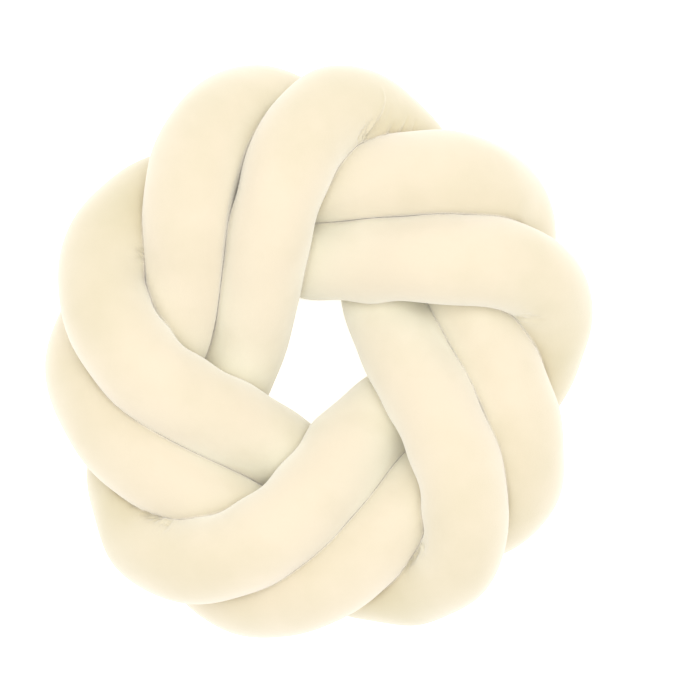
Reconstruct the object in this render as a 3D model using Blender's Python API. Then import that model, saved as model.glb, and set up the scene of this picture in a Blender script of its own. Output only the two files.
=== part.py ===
"""Knot cushion: one long stuffed velvet tube, its ends joined, tied into a flat ring.

The tube goes round the middle hole four times in ten passes.  Each pass starts at a bend
beside the hole, climbs over its neighbours, turns back in a lobe at the rim, dives under
the next passes and comes up at the next bend, 144 degrees further on.  Two passes lie side
by side all the way, so the face shows five pairs of strands, each pair over the next.

Metres, +Z up.  The origin is under the middle of the cushion, on the flat of its underside.
"""
from collections import namedtuple

import bpy
import numpy as np

# ---- driving dimensions, in metres unless a name says otherwise
STRAND = 0.0610          # across the stuffed tube where nothing presses on it
CREASE = 0.0010          # left open in the crease between two strands that press together
MIDDLE_LAYER = 0.0659    # height of the middle layer over what the cushion rests on
BULGE_LIMIT = 1.18       # widest a pressed strand spreads sideways, as a share of its own size
OWN_STRETCH = 0.120      # length of tube on each side of a ring that never presses on that ring
MILLIMETRE = 0.001

RINGS_PER_STEP = 7       # rings of faces between two guides of the route
SIDE_RESOLUTION = 6      # bevel resolution of the tube, which gives sixteen sides
ROUTE_SAMPLES_PER_RING = 4

CUSHION = "knot_cushion"
COVER_COLOUR = (0.93, 0.84, 0.66, 1.0)
COVER_ROUGHNESS = 0.9

# ---- the route of the tube's middle line
# A guide is (to the right, up, height about the middle layer, how much fuller the tube is
# than STRAND), in mm.  Each pass has four, evenly spaced along it.
Pass = namedtuple("Pass", "strand bend climb lobe dive")
ROUTE = (
    #    strand     bend at the hole  climbing over  lobe at the rim  diving under
    Pass("A outer", (-104, 26, 0, 7), (-92, 130, 30, 7), (-39, 180, -18, -1), (32, 103, -37, 0)),
    Pass("C inner", (53, 20, -8, 1), (94, -65, 45, 2), (99, -157, 24, -1), (19, -163, -30, 0)),
    Pass("E outer", (-63, -122, -8, 3), (-141, -72, 18, -1), (-168, 8, -24, 1), (-90, 71, -36, 0)),
    Pass("B inner", (-9, 69, -11, -4), (87, 67, 46, 3), (166, 43, 19, 1), (138, -40, -29, 0)),
    Pass("D outer", (78, -104, -3, 0), (-4, -172, 19, 0), (-83, -157, -31, 0), (-84, -58, -33, 1)),
    Pass("A inner", (-54, 8, -4, -3), (-32, 108, 45, 0), (13, 176, 16, 3), (73, 129, -25, 0)),
    Pass("C outer", (107, 48, -6, -2), (146, -59, 21, 0), (114, -122, -25, 2), (7, -102, -36, 0)),
    Pass("E inner", (-48, -63, 5, -2), (-124, -21, 37, 3), (-161, 63, 20, 3), (-94, 119, -20, 3)),
    Pass("B outer", (-2, 121, -2, 3), (98, 125, 29, 7), (141, 76, -27, 0), (95, -16, -36, 0)),
    Pass("D inner", (34, -61, -5, 2), (-27, -129, 41, 2), (-116, -150, 12, -2), (-138, -62, -34, 0)),
)


def closed_route(per_step):
    """Points of the smooth closed curve through all the guides, per_step of them to a step.

    The fourth number of each point is how much fuller the tube is there.
    """
    guides = MILLIMETRE * np.array([guide for row in ROUTE for guide in row[1:]])
    count = len(guides)
    after = np.roll(guides, -1, axis=0)
    before = np.roll(guides, 1, axis=0)
    # the bending at each guide, from the even closed cubic spline
    ring = np.eye(count)
    system = 4.0 * ring + np.roll(ring, 1, axis=1) + np.roll(ring, -1, axis=1)
    bending = np.linalg.solve(system, 6.0 * (after - 2.0 * guides + before))
    bending_after = np.roll(bending, -1, axis=0)
    points = np.empty((count, per_step, 4))
    for step in range(per_step):
        far = step / per_step
        near = 1.0 - far
        points[:, step] = (near * guides + far * after
                           + (near ** 3 - near) * bending / 6.0
                           + (far ** 3 - far) * bending_after / 6.0)
    return points.reshape(-1, 4)


def tube_mesh(points, radius):
    """A closed round tube along the points, as a mesh of rings."""
    curve = bpy.data.curves.new("route", "CURVE")
    curve.dimensions = "3D"
    curve.bevel_depth = radius
    curve.bevel_resolution = SIDE_RESOLUTION
    spline = curve.splines.new("POLY")
    spline.points.add(len(points) - 1)
    spline.points.foreach_set("co", np.column_stack([points, np.ones(len(points))]).ravel())
    spline.use_cyclic_u = True
    guide = bpy.data.objects.new("route", curve)
    bpy.context.scene.collection.objects.link(guide)
    evaluated = guide.evaluated_get(bpy.context.evaluated_depsgraph_get())
    mesh = bpy.data.meshes.new_from_object(evaluated)
    bpy.data.objects.remove(guide)
    return mesh


def room_around(middles, outward, route, spacing):
    """How far each point of each ring may lie from its ring's middle.

    Two strands that press together share the space between them evenly, so a strand
    reaches as far as the surface that lies half way to its neighbour's middle line.
    """
    rings, sides, _ = outward.shape
    samples = len(route)
    own = int(round(OWN_STRETCH / spacing))
    room = np.full((rings, sides), np.inf)
    for ring in range(rings):
        start = ring * ROUTE_SAMPLES_PER_RING + own
        others = np.arange(start, start + samples - 2 * own) % samples
        towards = route[others] - middles[ring]
        along = outward[ring] @ towards.T
        distance = np.einsum("ij,ij->i", towards, towards)
        with np.errstate(divide="ignore"):
            half_way = np.where(along > 0.0, distance / (2.0 * np.maximum(along, 1e-9)), np.inf)
        room[ring] = half_way.min(axis=1) - CREASE / 2.0
    return room


def outline_length(reach, outward):
    """Length of each ring's outline at the given reach in each direction."""
    points = outward * reach[..., None]
    return np.linalg.norm(np.roll(points, -1, axis=1) - points, axis=2).sum(axis=1)


def pressed_reach(room, outward, radius):
    """Reach of each ring in its pressed shape: the cover keeps its girth, so it spreads."""
    girth = outline_length(np.repeat(radius[:, None], room.shape[1], axis=1), outward)
    low = radius.copy()
    high = radius * BULGE_LIMIT
    for _ in range(24):
        free = (low + high) / 2.0
        slack = outline_length(np.minimum(room, free[:, None]), outward) < girth
        low = np.where(slack, free, low)
        high = np.where(slack, high, free)
    weights = np.array([1.0, 4.0, 6.0, 4.0, 1.0]) / 16.0
    spread = sum(weight * np.roll(free, shift) for weight, shift in zip(weights, (-2, -1, 0, 1, 2)))
    return np.minimum(room, spread[:, None])


def cover_material():
    """Cream velvet."""
    material = bpy.data.materials.new("cream_velvet")
    material.use_nodes = True
    shader = material.node_tree.nodes["Principled BSDF"]
    shader.inputs["Base Color"].default_value = COVER_COLOUR
    shader.inputs["Roughness"].default_value = COVER_ROUGHNESS
    shader.inputs["Metallic"].default_value = 0.0
    return material


def knotted_tube(collection):
    """The whole cushion: one tube, flattened where its strands press and where it rests."""
    rings = closed_route(RINGS_PER_STEP)
    middles = rings[:, :3]
    radius = (STRAND + rings[:, 3]) / 2.0
    route = closed_route(RINGS_PER_STEP * ROUTE_SAMPLES_PER_RING)[:, :3]
    spacing = np.linalg.norm(np.roll(route, -1, axis=0) - route, axis=1).mean()
    mesh = tube_mesh(middles, STRAND / 2.0)

    points = np.empty(len(mesh.vertices) * 3)
    mesh.vertices.foreach_get("co", points)
    points = points.reshape(len(middles), -1, 3)
    outward = points - middles[:, None, :]
    outward /= np.linalg.norm(outward, axis=2)[..., None]

    reach = pressed_reach(room_around(middles, outward, route, spacing), outward, radius)
    points = (middles[:, None, :] + outward * reach[..., None]).reshape(-1, 3)

    points[:, 2] = np.maximum(points[:, 2] + MIDDLE_LAYER, 0.0)
    points[:, :2] -= (points[:, :2].min(axis=0) + points[:, :2].max(axis=0)) / 2.0
    mesh.vertices.foreach_set("co", points.ravel())
    mesh.update()
    mesh.shade_smooth()

    tube = bpy.data.objects.new("knotted_tube", mesh)
    tube.data.materials.clear()
    tube.data.materials.append(cover_material())
    collection.objects.link(tube)
    return tube


for old in list(bpy.data.objects):
    bpy.data.objects.remove(old)

cushion = bpy.data.collections.new(CUSHION)
bpy.context.scene.collection.children.link(cushion)
knotted_tube(cushion)
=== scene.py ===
from collections import namedtuple

import bpy
import numpy as np
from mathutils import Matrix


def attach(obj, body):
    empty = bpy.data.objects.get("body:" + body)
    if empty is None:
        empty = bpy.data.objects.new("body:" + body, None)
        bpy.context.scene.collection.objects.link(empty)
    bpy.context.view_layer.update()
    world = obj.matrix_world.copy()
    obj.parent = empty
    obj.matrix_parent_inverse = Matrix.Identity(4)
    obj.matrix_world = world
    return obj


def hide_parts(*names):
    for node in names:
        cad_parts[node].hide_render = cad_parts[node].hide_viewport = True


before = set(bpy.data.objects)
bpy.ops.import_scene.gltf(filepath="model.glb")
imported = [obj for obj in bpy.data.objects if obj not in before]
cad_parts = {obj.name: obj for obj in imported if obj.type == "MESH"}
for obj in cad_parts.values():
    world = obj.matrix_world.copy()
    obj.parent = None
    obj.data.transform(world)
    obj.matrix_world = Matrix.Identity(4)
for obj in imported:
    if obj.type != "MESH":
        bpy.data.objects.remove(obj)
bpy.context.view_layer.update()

# ---------------------------------------------------------------------------------------
# The stuffed tube: one long sleeve of cream velvet, sewn along its length, filled with fibre
# and joined end to end, then woven into a flat ring of doubled strands.  It follows the same
# route as the CAD node that it replaces.
# ---------------------------------------------------------------------------------------
MILLIMETRE = 0.001
STRAND = 0.0610             # across the tube where nothing presses on it
PLAIN_RADIUS = STRAND / 2.0
CREASE = 0.00004            # left open between two strands that press together
MIDDLE = np.array([0.0013, 0.0006, 0.0659])    # where the route's own zero lies in the frame
OWN_STRETCH = 0.120         # length of tube on each side of a ring that never presses on it
SIDES = 88                  # corners round the tube

# A guide is (to the right, up the picture, height about the middle layer, how much fuller
# the tube is than STRAND), in mm.  Each pass of the tube has four, evenly spaced along it.
GUIDES_PER_PASS = 4.0
Pass = namedtuple("Pass", "strand bend climb lobe dive")
ROUTE = (
    #    strand     bend at the hole  climbing over      lobe at the rim    diving under
    Pass("A outer", (-104, 26, 0, 7), (-92, 130, 30, 7), (-39, 180, -18, -1), (32, 103, -37, 0)),
    Pass("C inner", (53, 20, -8, 1), (94, -65, 45, 2), (99, -157, 24, -1), (19, -163, -30, 0)),
    Pass("E outer", (-63, -122, -8, 3), (-141, -72, 18, -1), (-168, 8, -24, 1), (-90, 71, -36, 0)),
    Pass("B inner", (-9, 69, -11, -4), (87, 67, 46, 3), (166, 43, 19, 1), (138, -40, -29, 0)),
    Pass("D outer", (78, -104, -3, 0), (-4, -172, 19, 0), (-83, -157, -31, 0), (-84, -58, -33, 1)),
    Pass("A inner", (-54, 8, -4, -3), (-32, 108, 45, 0), (13, 176, 16, 3), (73, 129, -25, 0)),
    Pass("C outer", (107, 48, -6, -2), (146, -59, 21, 0), (114, -122, -25, 2), (7, -102, -36, 0)),
    Pass("E inner", (-48, -63, 5, -2), (-124, -21, 37, 3), (-161, 63, 20, 3), (-94, 119, -20, 3)),
    Pass("B outer", (-2, 121, -2, 3), (98, 125, 29, 7), (141, 76, -27, 0), (95, -16, -36, 0)),
    Pass("D inner", (34, -61, -5, 2), (-27, -129, 41, 2), (-116, -150, 12, -2), (-138, -62, -34, 0)),
)
GUIDES = MILLIMETRE * np.array([guide for row in ROUTE for guide in row[1:]])
STRANDS = [row.strand for row in ROUTE]

# The plainest tucks of the velvet, on the inside of the bends.  A tuck starts at the crease
# and runs over the tube through the places of its path, each given as guides passed in its
# strand and as a bearing in degrees round the tube from its top towards its right hand.
# Its width and height are in mm, and a height below nothing is a valley.
Tuck = namedtuple("Tuck", "strand width height path")
TUCKS = (
    Tuck("A inner", 1.0, -1.2, ((1.84, 55), (1.94, 36), (1.95, 24))),
    Tuck("A inner", 1.1, 0.7, ((1.92, 50), (2.00, 29), (1.99, 14))),
    Tuck("A inner", 0.9, -1.5, ((1.98, 44), (2.04, 24), (2.04, 6))),
    Tuck("A inner", 1.3, 1.6, ((2.01, 40), (2.08, 14), (2.14, -10), (2.17, -26), (2.16, -44))),
    Tuck("A inner", 1.5, -1.3, ((2.05, 39), (2.12, 13), (2.18, -11), (2.20, -28))),
    Tuck("A inner", 3.4, -1.5, ((2.12, 36), (2.18, 12), (2.24, -12), (2.26, -30))),
    Tuck("A inner", 2.4, -1.3, ((2.36, 4), (2.32, -14))),
    Tuck("A inner", 1.4, 0.8, ((2.40, 0), (2.41, -14), (2.41, -30))),
    Tuck("A inner", 1.3, -1.4, ((2.46, -12), (2.45, -24), (2.44, -36))),
    Tuck("A inner", 1.5, -1.1, ((2.55, -26), (2.52, -42))),
    Tuck("D inner", 1.3, -1.4, ((2.31, 8), (2.32, -6))),
    Tuck("D inner", 1.3, -1.5, ((2.18, 25), (2.20, 8))),
    Tuck("D inner", 1.2, -1.4, ((2.11, 34), (2.13, 18))),
    Tuck("D inner", 1.3, -1.4, ((2.06, 41), (2.04, 24))),
    Tuck("D inner", 1.2, -1.2, ((1.89, 52), (1.95, 38))),
    Tuck("D inner", 1.3, -1.3, ((1.90, 49), (1.87, 38), (1.89, 24))),
    Tuck("D inner", 1.4, 1.0, ((1.94, 48), (1.92, 24))),
    Tuck("C inner", 1.2, -1.2, ((1.94, 75), (2.06, 56))),
    Tuck("C inner", 1.2, -1.2, ((1.86, 72), (1.90, 56))),
    Tuck("C inner", 1.3, -1.2, ((2.10, 57), (2.18, 34))),
    Tuck("C inner", 1.4, -1.2, ((2.21, 42), (2.26, 20))),
    Tuck("C inner", 1.5, 0.8, ((1.73, 72), (1.81, 62))),
    Tuck("C inner", 1.4, 0.8, ((1.92, 70), (1.98, 52))),
    Tuck("E inner", 1.5, -1.3, ((2.14, 52), (2.09, 30))),
    Tuck("E inner", 1.4, -1.0, ((2.08, 58), (2.01, 42))),
    Tuck("B inner", 1.8, 0.9, ((1.80, 68), (1.88, 26))),
    Tuck("B inner", 1.8, -1.0, ((1.86, 68), (1.94, 28))),
)


def on_route(places):
    """Points of the smooth closed curve through the guides; a place counts guides passed.

    The fourth number of each point is how much fuller the tube is there.
    """
    count = len(GUIDES)
    after = np.roll(GUIDES, -1, axis=0)
    before = np.roll(GUIDES, 1, axis=0)
    # the bending at each guide, from the even closed cubic spline
    ring = np.eye(count)
    system = 4.0 * ring + np.roll(ring, 1, axis=1) + np.roll(ring, -1, axis=1)
    bending = np.linalg.solve(system, 6.0 * (after - 2.0 * GUIDES + before))
    step = np.floor(places).astype(int) % count
    far = (places % 1.0)[:, None]
    near = 1.0 - far
    following = (step + 1) % count
    return (near * GUIDES[step] + far * GUIDES[following]
            + (near ** 3 - near) * bending[step] / 6.0
            + (far ** 3 - far) * bending[following] / 6.0)


def even_places(samples):
    """Places at even steps of guides passed, once round the whole route."""
    return np.arange(samples) * len(GUIDES) / samples


def start_of(tuck):
    """Guides passed on the whole route where a tuck's strand starts."""
    return GUIDES_PER_PASS * STRANDS.index(tuck.strand)


def smoothed(values, width):
    """A closed row of values, averaged over a soft window of that many entries each side."""
    span = np.arange(-3 * width, 3 * width + 1)
    weights = np.exp(-0.5 * (span / width) ** 2)
    weights /= weights.sum()
    return sum(weight * np.roll(values, shift, axis=0) for weight, shift in zip(weights, span))


# How tightly the tube bends decides where the velvet gathers and where rings lie closer.
SURVEY = 4000               # points of the survey of the route
BEND_WINDOW = 8             # survey points over which the bending is averaged
survey_places = even_places(SURVEY)
survey = on_route(survey_places)[:, :3]
survey_step = np.roll(survey, -1, axis=0) - survey
survey_length = np.linalg.norm(survey_step, axis=1)
heading = survey_step / survey_length[:, None]
bend_towards = (heading - np.roll(heading, 1, axis=0)) / survey_length.mean()
bend_towards = smoothed(bend_towards, BEND_WINDOW)
tightness = np.linalg.norm(bend_towards, axis=1)     # one over the radius of the bend
tube_length = survey_length.sum()

PLAIN_SPACING = 0.0060      # between rings on the straighter stretches
BEND_SPACING = 0.0024       # between rings where the tube bends tightly
TUCK_SPACING = 0.0008       # between rings where there are tucks to draw
TIGHT_FROM, TIGHT_TO = 11.0, 18.0       # tightness between which the spacing changes
TUCK_MARGIN = 0.10          # guides passed, on each side of a tuck
SPACING_WINDOW = 12         # survey points over which the spacing changes
tight = np.clip((tightness - TIGHT_FROM) / (TIGHT_TO - TIGHT_FROM), 0.0, 1.0)
tucked = np.zeros(SURVEY)
for tuck in TUCKS:
    first = start_of(tuck) + min(guides_passed for guides_passed, _ in tuck.path)
    last = start_of(tuck) + max(guides_passed for guides_passed, _ in tuck.path)
    within = (survey_places > first - TUCK_MARGIN) & (survey_places < last + TUCK_MARGIN)
    tucked[within] = 1.0
rings_per_metre = (1.0 - tight) / PLAIN_SPACING + tight / BEND_SPACING
rings_per_metre = np.maximum(rings_per_metre, tucked / TUCK_SPACING)
spacing = 1.0 / smoothed(rings_per_metre, SPACING_WINDOW)
ring_number = np.concatenate([[0.0], np.cumsum(survey_length / spacing)])
RINGS = int(round(ring_number[-1]))
places = np.interp(np.arange(RINGS) * ring_number[-1] / RINGS,
                   ring_number, np.append(survey_places, float(len(GUIDES))))
middles = on_route(places)[:, :3]
free_radius = (STRAND + on_route(places)[:, 3:]) / 2.0

# The tube is a curve through the middles of its rings, with a circle for its outline.
around = np.arange(SIDES) * 2.0 * np.pi / SIDES
outline = bpy.data.curves.new("tube_outline", "CURVE")
round_line = outline.splines.new("POLY")
round_line.points.add(SIDES - 1)
round_line.points.foreach_set("co", np.column_stack([
    PLAIN_RADIUS * np.cos(around), PLAIN_RADIUS * np.sin(around),
    np.zeros(SIDES), np.ones(SIDES)]).ravel())
round_line.use_cyclic_u = True
tube_outline = bpy.data.objects.new("tube_outline", outline)
bpy.context.scene.collection.objects.link(tube_outline)
curve = bpy.data.curves.new("route", "CURVE")
curve.dimensions = "3D"
curve.bevel_mode = "OBJECT"
curve.bevel_object = tube_outline
spline = curve.splines.new("POLY")
spline.points.add(RINGS - 1)
spline.points.foreach_set("co", np.column_stack([middles, np.ones(RINGS)]).ravel())
spline.use_cyclic_u = True
tube = bpy.data.objects.new("velvet_tube", curve)
bpy.context.scene.collection.objects.link(tube)
bpy.ops.object.select_all(action="DESELECT")
bpy.context.view_layer.objects.active = tube
tube.select_set(True)
bpy.ops.object.convert(target="MESH")
tube = bpy.context.view_layer.objects.active
mesh = tube.data
bpy.data.objects.remove(tube_outline)

points = np.empty(len(mesh.vertices) * 3)
mesh.vertices.foreach_get("co", points)
points = points.reshape(RINGS, -1, 3)
outward = points - middles[:, None, :]
outward /= np.linalg.norm(outward, axis=2)[..., None]

ROOM_SAMPLES = 1400         # points of the route that a ring is measured against
NEIGHBOUR_REACH = 3.2 * STRAND      # how near a neighbour's middle line is to press on a ring
FAR = 1.0                   # stands for the room where there is no neighbour
ALMOST_NOTHING = 1e-9       # keeps a division from meeting a nought


def room_beside_neighbours():
    """How far each point of each ring may lie from its ring's middle.

    Two strands that press together share the space between them evenly, so a strand
    reaches as far as the surface that lies half way to its neighbour's middle line.
    """
    route = on_route(even_places(ROOM_SAMPLES))[:, :3]
    own = int(round(OWN_STRETCH / tube_length * ROOM_SAMPLES))
    room = np.empty(outward.shape[:2])
    for ring, place in enumerate(places):
        start = int(round(place / len(GUIDES) * ROOM_SAMPLES)) + own
        others = np.arange(start, start + ROOM_SAMPLES - 2 * own) % ROOM_SAMPLES
        towards = route[others] - middles[ring]
        near = np.linalg.norm(towards, axis=1) < NEIGHBOUR_REACH
        towards = towards[near]
        along = outward[ring] @ towards.T
        distance = np.einsum("ij,ij->i", towards, towards)
        half_way = np.where(along > ALMOST_NOTHING,
                            distance / (2.0 * np.maximum(along, ALMOST_NOTHING)), FAR)
        room[ring] = half_way.min(axis=1) if len(towards) else FAR
    return np.minimum(room, STRAND) - CREASE / 2.0


# What the cushion rests on presses its lowest strands flat in the same way.
ALMOST_LEVEL = -1e-6        # slope of a direction that meets the floor only far away
floor_level = -MIDDLE[2]
down = np.minimum(outward[:, :, 2], ALMOST_LEVEL)
room = np.minimum(room_beside_neighbours(), (floor_level - middles[:, None, 2]) / down)

# The cover is a taut skin round the filling.  It leaves a pressed place in a smooth curve,
# keeps its girth, and so spreads sideways where it is pressed thin.
SKIN_STEPS = 260
STEP_AREA = 0.35e-6         # square metres that one step smooths over
MOST_CURVING = 20.0         # curving along the tube, one over metres, that a step takes in
PUSH_STEPS = 10             # steps after which the filling's push is set again
PUSH_GAIN = 2.5             # how strongly a ring of too small a girth is pushed out
PUSH_WINDOW = 3             # rings over which the push is evened out
PUSH_LEAST, PUSH_MOST = 0.8, 2.2        # against the push that a free round tube needs
angle_step = 2.0 * np.pi / SIDES
ring_gap = np.linalg.norm(np.roll(middles, -1, axis=0) - middles, axis=1)
gap_after = ring_gap[:, None]
gap_before = np.roll(ring_gap, 1)[:, None]


def girth_of(reach):
    """Length of each ring's outline."""
    side = np.roll(reach, -1, axis=1)
    return np.sqrt(reach ** 2 + side ** 2 - 2.0 * reach * side * np.cos(angle_step)).sum(axis=1)


girth = girth_of(np.repeat(free_radius, SIDES, axis=1))
reach = np.minimum(room, free_radius)
push = 1.0 / free_radius
for step in range(SKIN_STEPS):
    right = np.roll(reach, -1, axis=1)
    left = np.roll(reach, 1, axis=1)
    slope = (right - left) / (2.0 * angle_step)
    turn = (right - 2.0 * reach + left) / angle_step ** 2
    size = reach ** 2 + slope ** 2
    curving = (size + slope ** 2 - reach * turn) / size ** 1.5
    ahead = np.roll(reach, -1, axis=0) - reach
    behind = reach - np.roll(reach, 1, axis=0)
    along = 2.0 * (ahead / gap_after - behind / gap_before) / (gap_after + gap_before)
    along = np.clip(along, -MOST_CURVING, MOST_CURVING)
    reach = reach + STEP_AREA * ((push - curving) * np.sqrt(size) / reach + along)
    reach = np.minimum(reach, room)
    if step % PUSH_STEPS == PUSH_STEPS - 1:
        short = 1.0 - girth_of(reach) / girth
        push = np.clip(push + PUSH_GAIN * smoothed(short, PUSH_WINDOW)[:, None] / free_radius,
                       PUSH_LEAST / free_radius, PUSH_MOST / free_radius)

# The filling is a little uneven, so the tube swells and thins by a fraction of a millimetre.
LUMP_HEIGHT = 0.00044
MOST_TURNS = 3              # times that one swelling winds round the tube
CHANCE_SEED = 7
chance = np.random.RandomState(CHANCE_SEED)
run = np.concatenate([[0.0], np.cumsum(ring_gap)])[:-1]      # length of tube up to each ring


def unevenness(count, waves_from, waves_to):
    """A smooth, closed, random swelling over the whole tube, of about unit height."""
    height = np.zeros((RINGS, SIDES))
    for _ in range(count):
        waves = chance.randint(waves_from, waves_to)         # whole waves in the tube's length
        turns = chance.randint(-MOST_TURNS, MOST_TURNS + 1)
        start = chance.uniform(0.0, 2.0 * np.pi)
        height += np.sin(2.0 * np.pi * waves * run[:, None] / tube_length
                         + turns * around[None, :] + start)
    return height * np.sqrt(2.0 / count)


lumps = LUMP_HEIGHT * unevenness(count=26, waves_from=20, waves_to=95)
reach = np.minimum(reach + lumps, room)

# On the inside of a bend the sleeve has more velvet than room, and it gathers there.
ring_bend = np.column_stack([np.interp(places, survey_places, bend_towards[:, axis])
                             for axis in range(3)])
squeeze = np.einsum("ijk,ik->ij", outward, ring_bend) * reach    # share of length it loses
ring_heading = np.roll(middles, -1, axis=0) - np.roll(middles, 1, axis=0)
ring_heading /= np.linalg.norm(ring_heading, axis=1)[:, None]
ring_top = np.array([0.0, 0.0, 1.0]) - ring_heading[:, 2:3] * ring_heading
ring_top /= np.linalg.norm(ring_top, axis=1)[:, None]
ring_right = np.cross(ring_heading, ring_top)
bearing = np.degrees(np.arctan2(np.einsum("ijk,ik->ij", outward, ring_right),
                                np.einsum("ijk,ik->ij", outward, ring_top)))
guide_length = tube_length / len(GUIDES)


def near_tuck(tuck):
    """How far every point lies from a tuck, and what share of the tuck it lies past."""
    begin = start_of(tuck)
    along_scale = guide_length * (1.0 - squeeze)
    round_scale = np.radians(1.0) * reach
    aside = np.full(reach.shape, np.inf)
    share = np.zeros(reach.shape)
    legs = len(tuck.path) - 1
    for leg, (start, end) in enumerate(zip(tuck.path[:-1], tuck.path[1:])):
        along = (places[:, None] - begin - start[0]) * along_scale
        across = (bearing - start[1]) * round_scale
        leg_along = (end[0] - start[0]) * along_scale
        leg_across = (end[1] - start[1]) * round_scale
        part = (along * leg_along + across * leg_across) / (leg_along ** 2 + leg_across ** 2)
        part = np.clip(part, 0.0, 1.0)
        distance = np.hypot(along - part * leg_along, across - part * leg_across)
        share = np.where(distance < aside, (leg + part) / legs, share)
        aside = np.minimum(aside, distance)
    return aside, share


GATHER_REACH = 0.006        # how far from a tuck the velvet still gathers
drawn = np.zeros(reach.shape)
gathered = np.zeros(reach.shape)
for tuck in TUCKS:
    aside, share = near_tuck(tuck)
    width = MILLIMETRE * tuck.width
    drawn += MILLIMETRE * tuck.height * (1.0 - share ** 2) * np.exp(-(aside / width) ** 2)
    gathered = np.maximum(gathered, np.exp(-(aside / GATHER_REACH) ** 2))

RIPPLE_HEIGHT = 0.00010
GATHER_FROM, GATHER_TO = 0.05, 0.20     # squeeze between which the velvet comes free to gather
freedom = np.clip((squeeze - GATHER_FROM) / (GATHER_TO - GATHER_FROM), 0.0, 1.0) * gathered
ripple = RIPPLE_HEIGHT * freedom * unevenness(count=14, waves_from=570, waves_to=1140)
reach = np.minimum(reach + ripple + drawn, room)

# The sleeve is simulated as cloth that was cut for a straight tube and is blown up by its
# filling.  It is held where it is taut and free where it gathers, so it buckles there.
CLOTH_FRAMES = 20
SLEEVE_SLACK = 1.05         # length of the sleeve as cut, against the tube's own
HOLD_LEVELS = 20            # steps between a point that is free and one that is held
MOVE_LIMIT = 0.002          # the furthest that the simulation may move a point
sideways = np.zeros_like(points)
before = middles[:, None, :] + outward * reach[..., None] + MIDDLE
mesh.vertices.foreach_set("co", before.ravel())
mesh.update()
tube.shape_key_add(name="woven")
# The straight sleeve is laid in one wide ring, so that its ends meet.
straight = tube.shape_key_add(name="straight sleeve")
turned = 2.0 * np.pi * run[:, None] / tube_length
from_axis = SLEEVE_SLACK * tube_length / (2.0 * np.pi) + PLAIN_RADIUS * np.cos(around)[None, :]
straight.data.foreach_set("co", np.stack([
    from_axis * np.cos(turned), from_axis * np.sin(turned),
    np.repeat(PLAIN_RADIUS * np.sin(around)[None, :], RINGS, axis=0)], axis=2).ravel())
held = tube.vertex_groups.new(name="held")
hold = np.round((1.0 - freedom.ravel()) * HOLD_LEVELS).astype(int)
for level in range(HOLD_LEVELS + 1):
    held.add(np.nonzero(hold == level)[0].tolist(), level / HOLD_LEVELS, "REPLACE")
sleeve = tube.modifiers.new("sleeve", "CLOTH")
cloth = sleeve.settings
cloth.quality = 5
cloth.mass = 0.000003                    # kilograms for each point of the mesh
cloth.tension_stiffness = 40.0
cloth.compression_stiffness = 40.0
cloth.shear_stiffness = 2.0
cloth.bending_stiffness = 0.05
cloth.use_pressure = True
cloth.uniform_pressure_force = 200.0
cloth.effector_weights.gravity = 0.0
cloth.vertex_group_mass = "held"
cloth.rest_shape_key = straight
sleeve.collision_settings.use_collision = False
sleeve.point_cache.frame_end = CLOTH_FRAMES
for frame_number in range(1, CLOTH_FRAMES + 1):
    bpy.context.scene.frame_set(frame_number)
simulated = tube.evaluated_get(bpy.context.evaluated_depsgraph_get()).data
after = np.empty(len(simulated.vertices) * 3)
simulated.vertices.foreach_get("co", after)
tube.modifiers.remove(sleeve)
tube.shape_key_clear()
tube.vertex_groups.clear()
bpy.context.scene.frame_set(1)
moved = after.reshape(points.shape) - before
distance = np.linalg.norm(moved, axis=2, keepdims=True)
moved *= np.minimum(1.0, MOVE_LIMIT / np.maximum(distance, ALMOST_NOTHING))
radial = np.einsum("ijk,ijk->ij", moved, outward)
sideways = moved - radial[..., None] * outward
reach = np.minimum(reach + radial, room)

# Where two strands meet, the pile of both leans into the crease and closes its depth.
PILE = 0.0018
PILE_SPREAD = 0.0045        # how far from the crease the pile stands up
reach = np.minimum(reach + PILE * np.exp(-(room - reach) / PILE_SPREAD), room)

points = middles[:, None, :] + outward * reach[..., None] + sideways + MIDDLE
mesh.vertices.foreach_set("co", points.ravel())
mesh.update()
mesh.shade_smooth()

SHELTER_SAMPLES = 500       # points of the route that shade a ring
OWN_SHELTER = 0.055         # length of tube on each side of a ring that never shades it
SHELTER_REACH = 0.16        # how far away a strand still takes light


def shelter_of_strands():
    """How much of the light that each point faces is taken by the strands around it."""
    slice_length = tube_length / SHELTER_SAMPLES
    route = on_route(even_places(SHELTER_SAMPLES))[:, :3] + MIDDLE
    own = int(round(OWN_SHELTER / slice_length))
    shelter = np.zeros(outward.shape[:2])
    for ring, place in enumerate(places):
        start = int(round(place / len(GUIDES) * SHELTER_SAMPLES)) + own
        others = route[np.arange(start, start + SHELTER_SAMPLES - 2 * own) % SHELTER_SAMPLES]
        away = np.linalg.norm(others - points[ring].mean(axis=0), axis=1)
        others = others[away < SHELTER_REACH]
        towards = others[None, :, :] - points[ring][:, None, :]
        distance = np.maximum(np.linalg.norm(towards, axis=2), PLAIN_RADIUS)
        facing = np.einsum("ijk,ik->ij", towards, outward[ring]) / distance
        share = (np.maximum(facing, 0.0) * 2.0 * PLAIN_RADIUS * slice_length
                 / (np.pi * distance ** 2))
        shelter[ring] = share.sum(axis=1)
    return shelter


def store(name, values):
    """Stores one number for each point of the mesh, for the material to read."""
    attribute = mesh.attributes.new(name, "FLOAT", "POINT")
    attribute.data.foreach_set("value", np.clip(values, 0.0, 1.0).ravel())


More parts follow.
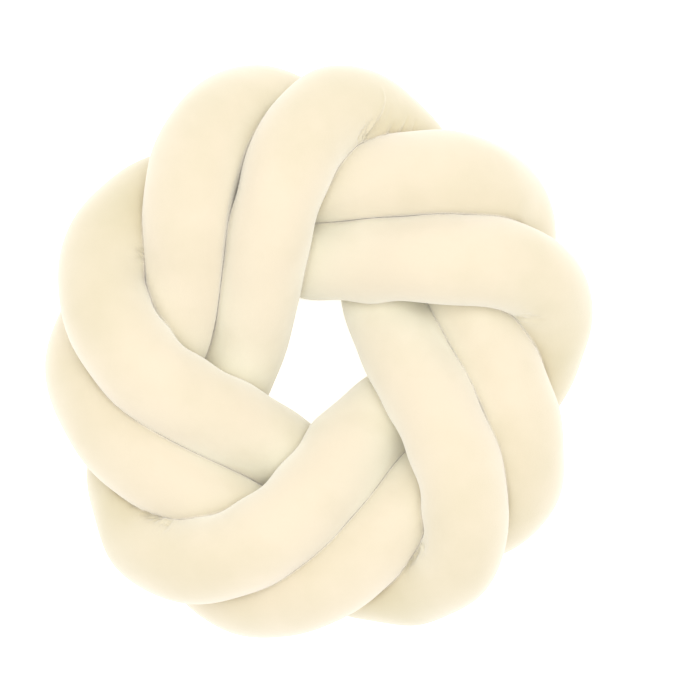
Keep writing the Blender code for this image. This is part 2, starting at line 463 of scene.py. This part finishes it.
# Shade painted along each pass as a darker, deeper colour: none, at 0, where a strand climbs
# over its neighbours, full, at 1, where it turns down from the rim and dives; outer strands get
# more.
DiveShade = namedtuple("DiveShade", "guides_passed outer inner")
DIVE_SHADES = (
    DiveShade(0.0, 0.05, 0.05),
    DiveShade(0.6, 0.05, 0.00),
    DiveShade(1.0, 0.30, 0.04),
    DiveShade(1.3, 0.38, 0.15),
    DiveShade(1.6, 0.48, 0.40),
    DiveShade(2.0, 0.50, 0.46),
    DiveShade(2.4, 1.00, 0.93),
    DiveShade(3.0, 1.00, 1.00),
    DiveShade(4.0, 0.05, 0.05),
)
guides_passed, outer_dive_shade, inner_dive_shade = np.array(DIVE_SHADES).T
in_pass = places % GUIDES_PER_PASS
inner_pass = np.array([row.strand.endswith("inner") for row in ROUTE])[
    (places // GUIDES_PER_PASS).astype(int)]
painted_dive_shade = np.where(inner_pass, np.interp(in_pass, guides_passed, inner_dive_shade),
                     np.interp(in_pass, guides_passed, outer_dive_shade))

# Light and shade painted into the creases: light on the edge of the upper strand and deep in
# the folds, and painted shade on the lower strand beside the upper one.  A side that faces
# down belongs to an upper strand.
GAP_SHOWN = 0.010           # the largest gap to a neighbour that the material tells apart
UPRIGHT_SIDE = 0.5          # how much a side that faces neither up nor down counts as above
TILT_GAIN = 1.5             # how fast that grows as the side turns down
# painted shade along each pass, darker where a strand turns down and dives
store("painted_dive_shade", np.repeat(painted_dive_shade[:, None], SIDES, axis=1))
store("crease_gap", (room - reach) / GAP_SHOWN)
store("above", UPRIGHT_SIDE - TILT_GAIN * outward[:, :, 2])
# how much light the strands around take, which sets the painted fill light
store("shelter", shelter_of_strands())

# The velvet: its own colour, patches and grain, with light and shade painted into the colour, and
# bump and sheen.
WHITE = (1.0, 1.0, 1.0, 1.0)
SMOOTH_PILE = (0.700, 0.610, 0.457, 1.0)
# painted fill light: paler and greyer where the strands around take the light
PAINTED_FILL_COLOUR = (0.795, 0.765, 0.625, 1.0)
# painted shade where a strand turns down from the rim and dives under its neighbours
DIVE_SHADE_COLOUR = (0.588, 0.525, 0.356, 1.0)
# painted light on the upper strands' edges and deep in the creases
PAINTED_CREASE_LIGHT = (0.92, 0.87, 0.76, 1.0)
# painted shade on the lower strand beside a crease
SHADED_PILE = (0.600, 0.525, 0.385, 1.0)
GRAIN_COLOUR = (0.56, 0.48, 0.34, 1.0)
PATCH_SCALE, GRAIN_SCALE = 22.0, 700.0          # of the brushed patches and the grain
FINE_TUFTS, SOFT_TUFTS = 1500.0, 240.0          # scales of the two layers of bump
PATCH_DETAIL, PILE_DETAIL = 3.0, 2.0
NOISE_MIDDLE = 0.5          # what the noise comes to on average
PATCH_STRENGTH = 1.1        # how far a brushed patch moves the colour towards the painted dive shade or back
PAINTED_FILL_STRENGTH = 1.1      # how far painted fill light goes where the strands around take light
GRAIN_SHARE = 0.10
PLAIN_ROUGHNESS, GRAIN_ROUGHNESS = 0.80, 0.2
SOFT_TUFT_SHARE = 0.8
BUMP_STRENGTH, BUMP_DEPTH = 0.25, 0.0004
UPPER_VALLEY = 0.0010       # gap up to which light is painted on the upper strand's edge
DEEP_REACH = 0.003          # how near the walls of a fold are for light to be painted between them
DEEP_FROM, DEEP_TO = 0.54, 0.12     # open share of the sky at which that painted light starts, is full
DEEP_SAMPLES = 8
SHADE_WIDTH = 0.0045        # gap up to which the upper strand's shade is painted on the lower one
SHADE_DEPTH = 0.20
SHEEN, SHEEN_ROUGHNESS = 0.66, 0.6
GLOSS = 0.1
FIRST_COLOUR, SECOND_COLOUR, COLOUR_OUT = 6, 7, 2       # a Mix node's sockets for colours

velvet = bpy.data.materials.new("cream_velvet")
velvet.use_nodes = True
nodes = velvet.node_tree.nodes
links = velvet.node_tree.links
shader = nodes["Principled BSDF"]
shader.inputs["Sheen Weight"].default_value = SHEEN
shader.inputs["Sheen Roughness"].default_value = SHEEN_ROUGHNESS
shader.inputs["Sheen Tint"].default_value = WHITE
shader.inputs["Specular IOR Level"].default_value = GLOSS
coordinates = nodes.new("ShaderNodeTexCoord")


def noise(scale, detail):
    """A noise texture on the piece's own coordinates."""
    texture = nodes.new("ShaderNodeTexNoise")
    texture.inputs["Scale"].default_value = scale
    texture.inputs["Detail"].default_value = detail
    links.new(coordinates.outputs["Object"], texture.inputs["Vector"])
    return texture.outputs["Fac"]


def feed(sockets, values):
    """Gives each socket its value: another node's output, a number or a colour."""
    for socket, value in zip(sockets, values):
        if isinstance(value, bpy.types.NodeSocket):
            links.new(value, socket)
        else:
            socket.default_value = value


def worked_out(kind, *values):
    """One sum of the Math node on its values."""
    node = nodes.new("ShaderNodeMath")
    node.operation = kind
    feed(node.inputs, values)
    return node.outputs[0]


def mixed(share, first, second):
    """Colour between two others."""
    node = nodes.new("ShaderNodeMix")
    node.data_type = "RGBA"
    feed((node.inputs["Factor"], node.inputs[FIRST_COLOUR], node.inputs[SECOND_COLOUR]),
         (share, first, second))
    return node.outputs[COLOUR_OUT]


def stored(name):
    """A number stored on the mesh."""
    node = nodes.new("ShaderNodeAttribute")
    node.attribute_name = name
    return node.outputs["Fac"]


def beside_crease(width):
    """One in the crease, and fading over a gap of that width."""
    return worked_out("EXPONENT", worked_out("MULTIPLY", stored("crease_gap"), -GAP_SHOWN / width))


def light_between_folds():
    """One where the walls of a fold nearly meet, as a mask for light painted into the crease colour.
    """
    open_sky = nodes.new("ShaderNodeAmbientOcclusion")
    open_sky.samples = DEEP_SAMPLES
    open_sky.only_local = True
    open_sky.inputs["Distance"].default_value = DEEP_REACH
    deep = nodes.new("ShaderNodeMapRange")
    feed((deep.inputs["Value"], deep.inputs["From Min"], deep.inputs["From Max"]),
         (open_sky.outputs["AO"], DEEP_FROM, DEEP_TO))
    return deep.outputs["Result"]


# Each step lays one thing over the last: patches and painted dive shade, painted fill light, grain,
# then painted crease shade and light.
uneven = worked_out("SUBTRACT", noise(PATCH_SCALE, PATCH_DETAIL), NOISE_MIDDLE)
patches = worked_out("MULTIPLY", uneven, PATCH_STRENGTH)
# painted shade where strands dive, with random brushed patches over it
dive_shade_and_patches = worked_out("ADD", stored("painted_dive_shade"), patches)
# painted fill light where the strands around take the light
painted_fill_share = worked_out("MULTIPLY", stored("shelter"), PAINTED_FILL_STRENGTH)
patches_and_painted_light = mixed(dive_shade_and_patches, mixed(painted_fill_share, SMOOTH_PILE, PAINTED_FILL_COLOUR), DIVE_SHADE_COLOUR)
grain = noise(GRAIN_SCALE, PILE_DETAIL)
grained = mixed(worked_out("MULTIPLY", grain, GRAIN_SHARE), patches_and_painted_light, GRAIN_COLOUR)
below = worked_out("SUBTRACT", 1.0, stored("above"))
shade = worked_out("MULTIPLY", beside_crease(SHADE_WIDTH), below)
shaded = mixed(worked_out("MULTIPLY", shade, SHADE_DEPTH), grained, SHADED_PILE)
# painted light on the upper strand's edge and where the walls of a fold nearly meet
painted_edge_light = worked_out("MULTIPLY", beside_crease(UPPER_VALLEY), stored("above"))
lit = mixed(worked_out("MAXIMUM", painted_edge_light, light_between_folds()), shaded, PAINTED_CREASE_LIGHT)
grain_roughness = worked_out("MULTIPLY", grain, GRAIN_ROUGHNESS)
tufts = worked_out("ADD", noise(FINE_TUFTS, PILE_DETAIL),
                   worked_out("MULTIPLY", noise(SOFT_TUFTS, PILE_DETAIL), SOFT_TUFT_SHARE))
bump = nodes.new("ShaderNodeBump")
feed((bump.inputs["Strength"], bump.inputs["Distance"], bump.inputs["Height"]),
     (BUMP_STRENGTH, BUMP_DEPTH, tufts))
feed((shader.inputs["Base Color"], shader.inputs["Roughness"], shader.inputs["Normal"]),
     (lit, worked_out("ADD", PLAIN_ROUGHNESS, grain_roughness), bump.outputs["Normal"]))
mesh.materials.clear()
mesh.materials.append(velvet)

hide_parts("knotted_tube")
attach(tube, "root")

# ---------------------------------------------------------------------------------------
# Floor, light and camera.  The cushion lies on a white floor that glows a little, under an
# even sky and one soft square lamp.  The camera looks straight down on it.
# ---------------------------------------------------------------------------------------
FLOOR_SIZE = 6.0
FLOOR_COLOUR = (0.95, 0.95, 0.95, 1.0)
FLOOR_ROUGHNESS = 0.9
FLOOR_GLOW = 0.50
bpy.ops.mesh.primitive_plane_add(size=FLOOR_SIZE, location=(0.0, 0.0, 0.0))
floor = bpy.context.view_layer.objects.active
floor.name = "pale_floor"
paint = bpy.data.materials.new("pale_floor")
paint.use_nodes = True
floor_shader = paint.node_tree.nodes["Principled BSDF"]
floor_shader.inputs["Base Color"].default_value = FLOOR_COLOUR
floor_shader.inputs["Roughness"].default_value = FLOOR_ROUGHNESS
floor_shader.inputs["Emission Color"].default_value = WHITE
floor_shader.inputs["Emission Strength"].default_value = FLOOR_GLOW
floor.data.materials.append(paint)

SKY_STRENGTH = 1.05
world = bpy.data.worlds.new("studio")
world.use_nodes = True
sky = world.node_tree.nodes["Background"]
sky.inputs["Color"].default_value = WHITE
sky.inputs["Strength"].default_value = SKY_STRENGTH
bpy.context.scene.world = world

LAMP_PLACE = (0.06, 0.25, 2.4)
LAMP_SIZE = 1.6
LAMP_WATTS = 26.0
LAMP_AIM = (0.0, 0.0, 0.06)
lamp = bpy.data.lights.new("overhead_light", "AREA")
lamp.shape = "SQUARE"
lamp.size = LAMP_SIZE
lamp.energy = LAMP_WATTS
overhead_light = bpy.data.objects.new("overhead_light", lamp)
overhead_light.location = LAMP_PLACE
aim = bpy.data.objects.new("aim", None)
aim.location = LAMP_AIM
track = overhead_light.constraints.new("TRACK_TO")
track.target = aim
track.track_axis = "TRACK_NEGATIVE_Z"
track.up_axis = "UP_Y"
bpy.context.scene.collection.objects.link(aim)
bpy.context.scene.collection.objects.link(overhead_light)

PIXEL = 0.00074             # metres of cushion to a pixel of the photograph
FRAME_PIXELS = 700          # width and height of the photograph
CENTRE_PIXEL = (319.14, 350.79)     # where the photograph shows the frame's origin
LENS = 600.0                # in mm, and long, so that there is little perspective
SENSOR = 36.0               # in mm
MID_HEIGHT = 0.07           # height over the floor at which PIXEL holds
camera_data = bpy.data.cameras.new("camera")
camera_data.lens = LENS
camera_data.sensor_width = SENSOR
camera_data.shift_x = (FRAME_PIXELS / 2.0 - CENTRE_PIXEL[0]) / FRAME_PIXELS
camera_data.shift_y = (CENTRE_PIXEL[1] - FRAME_PIXELS / 2.0) / FRAME_PIXELS
camera = bpy.data.objects.new("camera", camera_data)
camera.location = (0.0, 0.0, PIXEL * FRAME_PIXELS * LENS / SENSOR + MID_HEIGHT)
bpy.context.scene.collection.objects.link(camera)
bpy.context.scene.camera = camera
bpy.context.scene.view_settings.view_transform = "Standard"
